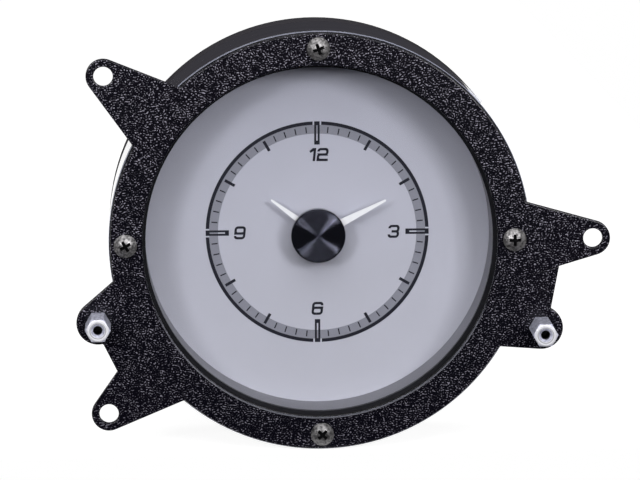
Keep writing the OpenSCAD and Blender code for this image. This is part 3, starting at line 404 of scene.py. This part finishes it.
# Mouldings and rubber: an even tone, a faint flow pattern and a fine spark-eroded grain
mouldedSurface = {"refraction": 1.46, "flowPerMetre": 70, "flowBend": 0.8}
mouldings = {
    "coverPlastic": {
        "colour": (0.0300, 0.0290, 0.0330), "flow": 0.25, "roughness": (0.66, 0.78), "refraction": 1.04,
        "grain": 0.016 * mm, "grainPerMetre": 2200, "on": ["rear_cover"],
    },
    "bezelPlastic": {
        "colour": (0.0095, 0.0095, 0.0125), "flow": 0.2, "roughness": (0.50, 0.62), "refraction": 1.22,
        "grain": 0.008 * mm, "grainPerMetre": 3000, "on": ["front_bezel"],
    },
    "gasketRubber": {
        "colour": (0.016, 0.016, 0.016), "flow": 0.3, "roughness": (0.70, 0.85),
        "grain": 0.02 * mm, "grainPerMetre": 1500, "on": ["lens_gasket"],
    },
    "buttonPlastic": {
        "colour": (0.42, 0.42, 0.43), "flow": 0.08, "roughness": (0.38, 0.48),
        "grain": 0.006 * mm, "grainPerMetre": 2600, "on": ["hour_button", "minute_button"],
    },
    "terminalPlastic": {
        "colour": (0.030, 0.165, 0.075), "flow": 0.12, "roughness": (0.34, 0.44),
        "grain": 0.006 * mm, "grainPerMetre": 2600, "on": ["terminal_block"],
    },
    "switchPlastic": {
        "colour": (0.022, 0.022, 0.024), "flow": 0.2, "roughness": (0.40, 0.52),
        "grain": 0.008 * mm, "grainPerMetre": 2600, "on": ["set_switches", "coil_bobbin", "controller_chip"],
    },
    "guideAcrylic": {
        "colour": (0.78, 0.82, 0.85), "flow": 0.04, "roughness": (0.10, 0.18),
        "grain": 0.002 * mm, "grainPerMetre": 900, "on": ["light_guide"],
    },
    "lampResin": {
        "colour": (0.80, 0.78, 0.66), "flow": 0.06, "roughness": (0.20, 0.30),
        "grain": 0.004 * mm, "grainPerMetre": 1800, "on": ["backlight_leds"],
    },
}


def mouldedFinish(name, plastic):
    finish = Finish(name, IOR=plastic["refraction"])
    flow = finish.noise(plastic["flowPerMetre"], Distortion=plastic["flowBend"])
    grain = finish.noise(plastic["grainPerMetre"])
    dark, pale = (tint(plastic["colour"], 1 + change) for change in (-plastic["flow"], plastic["flow"]))
    finish.wear(Base_Color=finish.between(flow, dark, pale),
                Roughness=finish.spread(grain, *noiseRange, *plastic["roughness"]))
    finish.relief(grain, plastic["grain"])
    return finish


dressAll(mouldedFinish, mouldedSurface, mouldings)

# Can: glossy, with faint paler streaks round it and a matt band at its rear end
canPlastic = {
    "colour": (0.0040, 0.0038, 0.0105),
    "roughness": (0.12, 0.18),
    "refraction": 1.6,
    "coatRoughness": 0.04,
    "grain": 0.0012 * mm,
    "grainPerMetre": 2200,
    "streak": (0.0640, 0.0610, 0.0700),
    "streaksPerMetre": 140,
    "streakStretch": (0.03, 1, 0.03),
    "streakRange": (0.42, 0.66),
    "band": (31.6 * mm, 32.2 * mm),  # where it begins
    "bandColour": (0.058, 0.055, 0.063),
}


def canFinish():
    finish = Finish("canPlastic", IOR=canPlastic["refraction"], Coat_Weight=1.0,
                    Coat_Roughness=canPlastic["coatRoughness"])
    streak = finish.noise(canPlastic["streaksPerMetre"], stretch=canPlastic["streakStretch"])
    streak = finish.spread(streak, *canPlastic["streakRange"])
    grain = finish.noise(canPlastic["grainPerMetre"])
    finish.wear(Base_Color=finish.between(streak, canPlastic["colour"], canPlastic["streak"]),
                Roughness=finish.spread(grain, *noiseRange, *canPlastic["roughness"]))
    finish.relief(grain, canPlastic["grain"])
    matt = finish.add("ShaderNodeBsdfDiffuse", {}, {"Color": (*canPlastic["bandColour"], 1)})
    band = finish.spread(finish.along("Y"), *canPlastic["band"])
    finish.cover(finish.add("ShaderNodeMixShader", {}, {0: band, 1: finish.body(), 2: matt}))
    return finish


dress(canFinish(), "housing_can")

# Reflector wall: nearly one grey from the dial to the bezel, with fine darker lines drawn round it
reflectorWall = {
    "nearDial": (0.188, 0.188, 0.214),
    "nearBezel": (0.190, 0.190, 0.216),
    "depth": (9.0 * mm, 15.0 * mm),  # where one grey goes over into the other
    "roughness": (0.44, 0.56),
    "refraction": 1.46,
    "drawnPerMetre": 900,
    "drawnStretch": (0.06, 1, 0.06),
    "drawnShade": 0.30,
    "drawnTone": 0.5,
    "relief": 0.010 * mm,
}


def reflectorFinish():
    finish = Finish("reflectorWall", IOR=reflectorWall["refraction"])
    drawn = finish.noise(reflectorWall["drawnPerMetre"], detail=3, stretch=reflectorWall["drawnStretch"])
    inwards = finish.spread(finish.along("Y"), *reflectorWall["depth"], smooth=True)
    wall = finish.between(inwards, reflectorWall["nearBezel"], reflectorWall["nearDial"])
    dark = finish.spread(drawn, *noiseCore, reflectorWall["drawnShade"], 0)
    line = tint(reflectorWall["nearBezel"], reflectorWall["drawnTone"])
    finish.wear(Base_Color=finish.between(dark, wall, line),
                Roughness=finish.spread(drawn, *noiseRange, *reflectorWall["roughness"]))
    finish.relief(drawn, reflectorWall["relief"])
    return finish


dress(reflectorFinish(), "reflector_ring")
print("mouldings:", len(mouldings), "and the can and reflector wall")

# Dial: silver paint with fine flakes, and painted light that makes it a little paler towards the bottom
dialPaint = {
    "colour": (0.452, 0.460, 0.556),
    "metal": 0.25,
    "roughness": (0.40, 0.50),
    "flake": 0.07,
    "flakesPerMetre": 5200,
    "flakeShare": 0.5,  # of the tone, beside the clouds
    "flakeRelief": 0.002 * mm,
    "cloudsPerMetre": 45,
    # painted light: how much paler the dial grows towards the bottom
    "paintedLightBelow": 0.135,
    "paintedLightHeight": (48 * mm, -48 * mm),
}


def silverDial():
    finish = Finish("silverDial", Metallic=dialPaint["metal"])
    flakes = finish.noise(dialPaint["flakesPerMetre"], detail=1)
    clouds = finish.noise(dialPaint["cloudsPerMetre"])
    share = dialPaint["flakeShare"]
    tone = finish.spread(flakes * share + clouds * (1 - share), *noiseCore)
    paint = finish.between(tone, tint(dialPaint["colour"], 1 - dialPaint["flake"]), dialPaint["colour"])
    # painted light towards the bottom
    paintedLightBelow = finish.spread(finish.along("Z"), *dialPaint["paintedLightHeight"], 0, dialPaint["paintedLightBelow"])
    finish.wear(Base_Color=finish.between(paintedLightBelow, paint, white),
                Roughness=finish.spread(flakes, *noiseRange, *dialPaint["roughness"]))
    finish.relief(flakes, dialPaint["flakeRelief"])
    return finish


# Inks and the hands' paint: a patchy tone with a fine grain
inkSurface = {"refraction": 1.28, "patchesPerMetre": 900, "grainPerMetre": 2600, "grain": 0.003 * mm}
inks = {
    "slateInk": {
        "colour": (0.0100, 0.0105, 0.0200), "patch": 0.25, "roughness": (0.50, 0.62),
        "on": ["dial_marks", "dial_numerals"],
    },
    "bandInk": {
        "colour": (0.235, 0.240, 0.290), "patch": 0.10, "roughness": (0.46, 0.58), "on": ["minute_band"],
    },
    "handPaint": {
        "colour": (0.83, 0.84, 0.885), "patch": 0.05, "roughness": (0.36, 0.46),
        "on": ["minute_hand", "hour_hand"],
    },
}


def inkFinish(name, ink):
    finish = Finish(name, IOR=ink["refraction"])
    patch = finish.noise(ink["patchesPerMetre"], detail=3)
    finish.wear(Base_Color=finish.between(patch, tint(ink["colour"], 1 - ink["patch"]), ink["colour"]),
                Roughness=finish.spread(patch, *noiseRange, *ink["roughness"]))
    finish.relief(finish.noise(ink["grainPerMetre"]), ink["grain"])
    return finish


dress(silverDial(), "dial_plate")
dressAll(inkFinish, inkSurface, inks)

# Hub cap: black anodised, with a lathe tool's fine rings on a slightly dished face
turnedCap = {
    "colour": (0.0185, 0.0195, 0.0300),
    "shading": 0.25,  # paler and darker rings
    "metal": 0.8,
    "roughness": (0.07, 0.10),
    "groove": 0.42 * mm,
    "grooveDepth": 0.0248 * mm,
    "chatterPerMetre": 5000,
    "chatterShare": 0.10,
    "dish": 1.3 / mm,  # how many groove depths the face rises along its radius
    "step": 0.03,  # how far apart the bump is read, in pixels
}


def anodisedCap():
    finish = Finish("anodisedCap", Metallic=turnedCap["metal"])
    radius = finish.radius()
    spot = finish.add("ShaderNodeCombineXYZ", {}, {0: radius})
    chatter = finish.noise(turnedCap["chatterPerMetre"], detail=1, spot=spot)
    shading = turnedCap["shading"]
    dark, pale = (tint(turnedCap["colour"], 1 + change) for change in (-shading, shading))
    finish.wear(Base_Color=finish.between(chatter, dark, pale),
                Roughness=finish.spread(chatter, *noiseRange, *turnedCap["roughness"]))
    wave = finish.lathe(radius, turnedCap["groove"]) + chatter * turnedCap["chatterShare"]
    finish.relief(wave + radius * turnedCap["dish"], turnedCap["grooveDepth"], Filter_Width=turnedCap["step"])
    return finish


dress(anodisedCap(), "hub_cap")

# Lens: clear over its face, rougher and pale at its sawn edge, where the pale colour is a painted highlight,
# and fainter on its tab
lensSheet = {
    "face": (0.02, 0.02, 0.02),
    # painted highlight on the sawn edge
    "edge": (0.66, 0.68, 0.86),
    "faceAlpha": 0.012,
    "edgeAlpha": 0.52,
    "tabAlpha": 0.12,
    "edgeRadius": (60.45 * mm, 60.75 * mm),
    "tabRadius": (60.90 * mm, 61.00 * mm),
    "refraction": 1.49,
    "hazePerMetre": 180,
    "hazeRange": (0.3, 1.7),  # with the edge, which adds 1
    "roughness": (0.03, 0.35),
}


def clearLens():
    finish = Finish("clearLens", IOR=lensSheet["refraction"])
    faceAlpha, edgeAlpha, tabAlpha = (lensSheet[key] for key in ("faceAlpha", "edgeAlpha", "tabAlpha"))
    radius = finish.radius()
    # the sawn edge, rougher, and with the painted highlight in its colour
    edge = finish.spread(radius, *lensSheet["edgeRadius"], smooth=True)
    tab = finish.spread(radius, *lensSheet["tabRadius"])
    haze = finish.noise(lensSheet["hazePerMetre"], detail=3)
    finish.wear(Base_Color=finish.between(edge, lensSheet["face"], lensSheet["edge"]),
                Alpha=faceAlpha + edge * (edgeAlpha - faceAlpha) - tab * (edgeAlpha - tabAlpha),
                Roughness=finish.spread(haze + edge, *lensSheet["hazeRange"], *lensSheet["roughness"]))
    return finish


dress(clearLens(), "lens")

# Winding: turns of enamelled wire side by side along the bobbin, with painted shade in the grooves between
# them
winding = {
    "wire": (0.60, 0.24, 0.085),
    # painted shade in the grooves between turns
    "gap": (0.16, 0.05, 0.02),
    "pitch": 0.18 * mm,
    "metal": 0.8,
    "roughness": (0.5, 0.3),
    "relief": 0.06 * mm,
}


def woundWire():
    finish = Finish("woundWire", Metallic=winding["metal"])
    half = winding["pitch"] / 2
    turn = finish.add("ShaderNodeMath", {"operation": "PINGPONG"}, {0: finish.along("X"), 1: half})
    crown = finish.spread(turn, 0, half, smooth=True)
    # painted shade where the turns meet, wire colour on their crowns
    finish.wear(Base_Color=finish.between(crown, winding["gap"], winding["wire"]),
                Roughness=finish.spread(crown, 0, 1, *winding["roughness"]))
    finish.relief(crown, winding["relief"])
    return finish


dress(woundWire(), "coil_winding")

# Circuit board: green mask with paler tracks
board = {
    "mask": (0.020, 0.110, 0.055),
    "track": (0.045, 0.190, 0.095),
    "trackPitch": 2.2 * mm,
    "trackDrift": 0.6,
    "trackEdge": (0.42, 0.50),
    "refraction": 1.5,
    "roughness": (0.3, 0.38),
    "relief": 0.03 * mm,
}


def maskedBoard():
    finish = Finish("maskedBoard", IOR=board["refraction"])
    cells = {"Vector": finish.place(), "Scale": 1 / board["trackPitch"], "Randomness": board["trackDrift"]}
    cell = finish.add("ShaderNodeTexVoronoi", {"distance": "MANHATTAN", "feature": "F1"}, cells)
    track = finish.spread(cell, *board["trackEdge"])
    finish.wear(Base_Color=finish.between(track, board["mask"], board["track"]),
                Roughness=finish.spread(track, 0, 1, *board["roughness"]))
    finish.relief(track, board["relief"])
    return finish


dress(maskedBoard(), "circuit_board")
print("materials done")

# Floor and surround: white to the camera. What is mirrored is a bright floor in nearly dark surroundings, and
# the lamps do the lighting
room = {
    "floorLeft": 4.0,  # metres from the dial's axis; the floor is level with the clock's lowest point
    "floorRight": 0.18,
    "floorFront": 0.004,
    "floorBack": 3.0,
    "floorColour": (0.80, 0.80, 0.80),
    "floorSeen": (0.30, 0.30, 0.30),  # under the glow
    "floorRoughness": (0.85, 0.95),
    "floorPerMetre": 3,
    "glowNear": 0.90,
    "glowFar": 1.00,
    "glowReach": (0.3, 2.5),
    "ambient": 0.06,
    "mirrorTint": (0.95, 0.92, 1.08),
    "inFront": 0.022,
    "behind": 0.05,
    "turnover": (-0.3, 0.3),  # from in front to behind, as the Y of a direction
}


def seenBy(finish, kinds):
    rays = [finish.add("ShaderNodeLightPath", output=kind) for kind in kinds]
    return finish.spread(sum(rays[1:], rays[0]), 0, 1)


def floorFinish():
    finish = Finish("paleFloor")
    seen = seenBy(finish, ("Is Camera Ray", "Is Glossy Ray", "Is Transmission Ray"))
    away = finish.radius(across=(1, 1, 0))
    level = finish.spread(away, *room["glowReach"], room["glowNear"], room["glowFar"], smooth=True)
    glow = finish.add("ShaderNodeEmission", {}, {"Color": (*white, 1), "Strength": seen * level})
    cloud = finish.noise(room["floorPerMetre"])
    finish.wear(Base_Color=finish.between(seen, room["floorColour"], room["floorSeen"]),
                Roughness=finish.spread(cloud, *noiseRange, *room["floorRoughness"]))
    finish.cover(finish.add("ShaderNodeAddShader", {}, {0: finish.body(), 1: glow}))
    return finish


def floor():
    mesh = bpy.data.meshes.new("floor")
    work = bmesh.new()
    bmesh.ops.create_grid(work, x_segments=2, y_segments=2, size=1)
    left, right = room["floorLeft"], room["floorRight"]
    front, back = room["floorFront"], room["floorBack"]
    middle = ((right - left) / 2, (back - front) / 2, cadBounds[0][2])
    bmesh.ops.scale(work, verts=work.verts, vec=((left + right) / 2, (back + front) / 2, 1))
    bmesh.ops.translate(work, verts=work.verts, vec=middle)
    work.to_mesh(mesh)
    work.free()
    mesh.materials.append(floorFinish().data)
    piece = bpy.data.objects.new("floor", mesh)
    bpy.context.scene.collection.objects.link(piece)


def surround():
    scene = bpy.context.scene
    scene.world = bpy.data.worlds.new("studio")
    finish = Finish("studio", data=scene.world)
    looking = finish.add("ShaderNodeTexCoord", output="Generated")
    backwards = finish.add("ShaderNodeSeparateXYZ", {}, {0: looking}, "Y")
    mirrored = finish.spread(backwards, *room["turnover"], room["inFront"], room["behind"], smooth=True)
    camera = seenBy(finish, ("Is Camera Ray",))
    glossy = seenBy(finish, ("Is Glossy Ray", "Is Transmission Ray"))
    strength = camera + (1 - camera) * (glossy * mirrored + (1 - glossy) * room["ambient"])
    colour = finish.between(glossy, white, room["mirrorTint"])
    finish.plug(finish.tree.nodes["Background"], {"Color": colour, "Strength": strength})


floor()
surround()

# A broad soft lamp overhead, one to each side of the dial, two small ones that draw the lines on the hub cap,
# and a broad one above and behind for the back
lampDistance = 1.2  # metres
lamps = {
    "overhead": {"across": -4.0, "up": 37.5, "size": 1.20, "power": 11.4},
    "left": {"across": -28.0, "up": 14.5, "size": 0.26, "power": 3.1},
    "right": {"across": 25.0, "up": 15.0, "size": 0.30, "power": 4.6},
    "rear": {"across": 195.0, "up": 60.0, "size": 0.90, "power": 4.0},
    "glintLeft": {"across": -30.0, "up": 14.0, "size": 0.06, "power": 0.7},
    "glintRight": {"across": 30.0, "up": 16.0, "size": 0.06, "power": 0.7},
}


def lamp(name, settings):  # across and up are degrees from the dial's axis; the lamp points at the clock
    across, up = math.radians(settings["across"]), math.radians(settings["up"])
    level = math.cos(up)
    spot = lampDistance * Vector((math.sin(across) * level, -math.cos(across) * level, math.sin(up)))
    light = bpy.data.lights.new(name, "AREA")
    light.shape = "SQUARE"
    light.size = settings["size"]
    light.energy = settings["power"]
    piece = bpy.data.objects.new(name, light)
    bpy.context.scene.collection.objects.link(piece)
    piece.location = spot
    piece.rotation_euler = spot.to_track_quat("Z", "Y").to_euler()


for name, settings in lamps.items():
    lamp(name, settings)

# The camera stands off the dial's axis: how far, and which way round from 3 o'clock
view = {
    "distance": 1.185,  # metres from the bracket's face
    "offAxis": 9.18,  # degrees, as are the next three
    "bearing": 106.2,
    "roll": -0.35,
    "twist": 0.43,
    "openingAt": (320.4, 242.7),  # the middle of the bracket's opening, in pixels
    "frame": (640, 480),
    "focalPixels": 4124.6,
    "sensor": 36.0,
}


def camera():
    bearing = math.radians(view["bearing"])
    hinge = Vector((-math.sin(bearing), math.cos(bearing), 0))
    turn = (Matrix.Rotation(math.radians(90), 3, "X")
            @ Matrix.Rotation(-math.radians(view["twist"]), 3, "Z")
            @ Matrix.Rotation(math.radians(view["offAxis"]), 3, hinge)
            @ Matrix.Rotation(math.radians(view["roll"]), 3, "Z"))
    pixel = view["distance"] / view["focalPixels"]
    across = (view["frame"][0] / 2 - view["openingAt"][0]) * pixel
    up = (view["openingAt"][1] - view["frame"][1] / 2) * pixel
    data = bpy.data.cameras.new("camera")
    data.sensor_width = view["sensor"]
    data.lens = view["focalPixels"] / view["frame"][0] * view["sensor"]
    piece = bpy.data.objects.new("camera", data)
    bpy.context.scene.collection.objects.link(piece)
    piece.matrix_world = Matrix.Translation(turn @ Vector((across, up, view["distance"]))) @ turn.to_4x4()
    bpy.context.scene.camera = piece


camera()
bpy.context.scene.view_settings.view_transform = "Standard"
print("lamps and camera placed")
